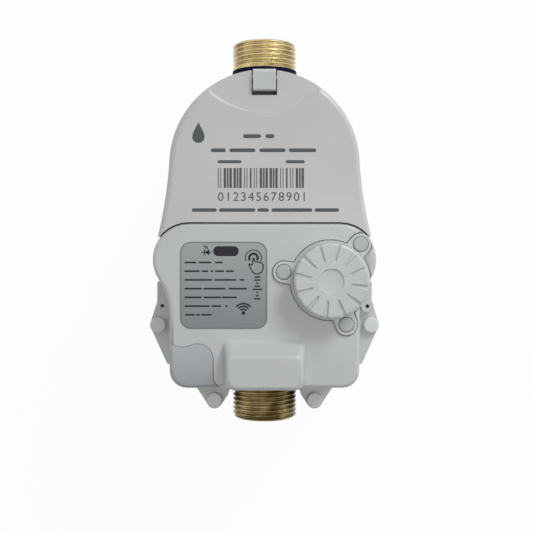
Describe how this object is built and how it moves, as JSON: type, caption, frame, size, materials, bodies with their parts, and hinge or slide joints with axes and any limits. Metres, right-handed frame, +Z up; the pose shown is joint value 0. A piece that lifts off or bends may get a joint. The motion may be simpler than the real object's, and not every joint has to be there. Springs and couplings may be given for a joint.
{
  "type": "water meter",
  "caption": "Battery-powered water meter: threaded brass body in a grey plastic housing, with a hinged register lid, a label, a screw battery cap and a shut-off valve.",
  "frame": {"origin": "under the middle of the pipe, on the surface the rear shell rests on", "axes": "+X across the meter to the right, +Y along the pipe towards the inlet, +Z up through the dial"},
  "size_m": [0.1194, 0.195, 0.103],
  "materials": {
    "shell_plastic": "fine moulded satin",
    "lid_plastic": "fine moulded satin",
    "plug_plastic": "satin",
    "corner_plastic": "satin",
    "cap_plastic": "satin",
    "label_print": "printed film",
    "window_plastic": "dark infrared filter",
    "brass": "turned and cast",
    "steel": "plated",
    "rubber": "matt",
    "board": "solder mask",
    "black_plastic": "satin",
    "cell_wrap": "shrink wrap",
    "spring_metal": "plated",
    "inner_plastic": "moulded",
    "impeller_plastic": "moulded",
    "dial_print": "printed",
    "clear_glass": "polished",
    "digit_black": "printed",
    "dial_red": "moulded",
    "ball_chrome": "polished",
    "seat_plastic": "machined"
  },
  "bodies": {
    "housing": {"rear_shell": "shell_plastic", "front_shell": "shell_plastic", "lid_hinge_pin": "steel", "shell_gasket": "rubber", "shell_screws": "steel", "shell_plugs": "plug_plastic", "corner_cover": "corner_plastic", "label_plate": "label_print", "ir_window": "window_plastic", "circuit_board": "board", "radio_module": "steel", "pulse_sensor": "black_plastic", "battery_holder": "cap_plastic", "holder_screws": "steel", "holder_plugs": "plug_plastic", "battery_cell": "cell_wrap", "battery_contact": "spring_metal", "meter_body": "brass", "outlet_nipple": "brass", "inlet_strainer": "inner_plastic", "chamber_cup": "inner_plastic", "chamber_cover": "inner_plastic", "impeller_pivot": "steel", "head_gasket": "rubber", "head_ring": "brass", "register_cup": "inner_plastic", "dial_plate": "dial_print", "dial_glass": "clear_glass", "wheel_shaft": "steel", "valve_seats": "seat_plastic", "stem_seals": "rubber", "gearmotor": "black_plastic"},
    "lid": {"register_lid": "lid_plastic"},
    "cap_lift": {"cap_gasket": "rubber"},
    "cap": {"battery_cap": "cap_plastic"},
    "impeller": {"impeller": "impeller_plastic"},
    "valve": {"valve_ball": "ball_chrome", "valve_stem": "steel"},
    "star": {"flow_star": "dial_red"},
    "hand_1": {"pointer_1": "dial_red"},
    "hand_2": {"pointer_2": "dial_red"},
    "hand_3": {"pointer_3": "dial_red"},
    "hand_4": {"pointer_4": "dial_red"},
    "digit_1": {"digit_wheel_1": "digit_black"},
    "digit_2": {"digit_wheel_2": "digit_black"},
    "digit_3": {"digit_wheel_3": "digit_black"},
    "digit_4": {"digit_wheel_4": "digit_black"},
    "digit_5": {"digit_wheel_5": "dial_red"}
  },
  "joints": [
    {"name": "lid_hinge", "type": "hinge", "parent": "housing", "child": "lid", "pos_m": [0, 0.0696, 0.0865], "axis": [-1, 0, 0], "range_deg": [0, 105]},
    {"name": "cap_rise", "type": "slide", "parent": "housing", "child": "cap_lift", "axis": [0, 0, 1], "range_m": [0, 0.009]},
    {"name": "cap_turn", "type": "hinge", "parent": "cap_lift", "child": "cap", "pos_m": [0.0303, -0.0235, 0.1], "axis": [0, 0, 1], "range_deg": [0, 1081]},
    {"name": "valve_turn", "type": "hinge", "parent": "housing", "child": "valve", "pos_m": [0, -0.058, 0.038], "axis": [0, 0, 1], "range_deg": [0, 90]},
    {"name": "impeller_spin", "type": "hinge", "parent": "housing", "child": "impeller", "pos_m": [0, 0.0302, 0.025], "axis": [0, 0, 1], "continuous": true},
    {"name": "star_spin", "type": "hinge", "parent": "housing", "child": "star", "pos_m": [0, 0.0302, 0.074], "axis": [0, 0, 1], "continuous": true},
    {"name": "hand_1_spin", "type": "hinge", "parent": "housing", "child": "hand_1", "pos_m": [0.01269, 0.02558, 0.074], "axis": [0, 0, -1], "continuous": true},
    {"name": "hand_2_spin", "type": "hinge", "parent": "housing", "child": "hand_2", "pos_m": [0.00536, 0.01781, 0.074], "axis": [0, 0, -1], "continuous": true},
    {"name": "hand_3_spin", "type": "hinge", "parent": "housing", "child": "hand_3", "pos_m": [-0.00532, 0.01779, 0.074], "axis": [0, 0, -1], "continuous": true},
    {"name": "hand_4_spin", "type": "hinge", "parent": "housing", "child": "hand_4", "pos_m": [-0.01267, 0.02554, 0.074], "axis": [0, 0, -1], "continuous": true},
    {"name": "digit_5_spin", "type": "hinge", "parent": "housing", "child": "digit_5", "pos_m": [0.0118, 0.0382, 0.0683], "axis": [1, 0, 0], "continuous": true},
    {"name": "digit_4_spin", "type": "hinge", "parent": "housing", "child": "digit_4", "pos_m": [0.0059, 0.0382, 0.0683], "axis": [1, 0, 0], "continuous": true},
    {"name": "digit_3_spin", "type": "hinge", "parent": "housing", "child": "digit_3", "pos_m": [0, 0.0382, 0.0683], "axis": [1, 0, 0], "continuous": true},
    {"name": "digit_2_spin", "type": "hinge", "parent": "housing", "child": "digit_2", "pos_m": [-0.0059, 0.0382, 0.0683], "axis": [1, 0, 0], "continuous": true},
    {"name": "digit_1_spin", "type": "hinge", "parent": "housing", "child": "digit_1", "pos_m": [-0.0118, 0.0382, 0.0683], "axis": [1, 0, 0], "continuous": true}
  ],
  "couplings": [
    {"joint": "cap_turn", "follows": "cap_rise", "rad_per_m": 2094.4},
    {"joint": "star_spin", "follows": "impeller_spin", "ratio": 0.6},
    {"joint": "hand_1_spin", "follows": "impeller_spin", "ratio": 0.025},
    {"joint": "hand_2_spin", "follows": "impeller_spin", "ratio": 0.0025},
    {"joint": "hand_3_spin", "follows": "impeller_spin", "ratio": 0.00025},
    {"joint": "hand_4_spin", "follows": "impeller_spin", "ratio": 0.000025},
    {"joint": "digit_5_spin", "follows": "impeller_spin", "ratio": 0.0000025},
    {"joint": "digit_4_spin", "follows": "impeller_spin", "ratio": 0.00000025},
    {"joint": "digit_3_spin", "follows": "impeller_spin", "ratio": 0.000000025},
    {"joint": "digit_2_spin", "follows": "impeller_spin", "ratio": 0.0000000025},
    {"joint": "digit_1_spin", "follows": "impeller_spin", "ratio": 0.00000000025}
  ]
}
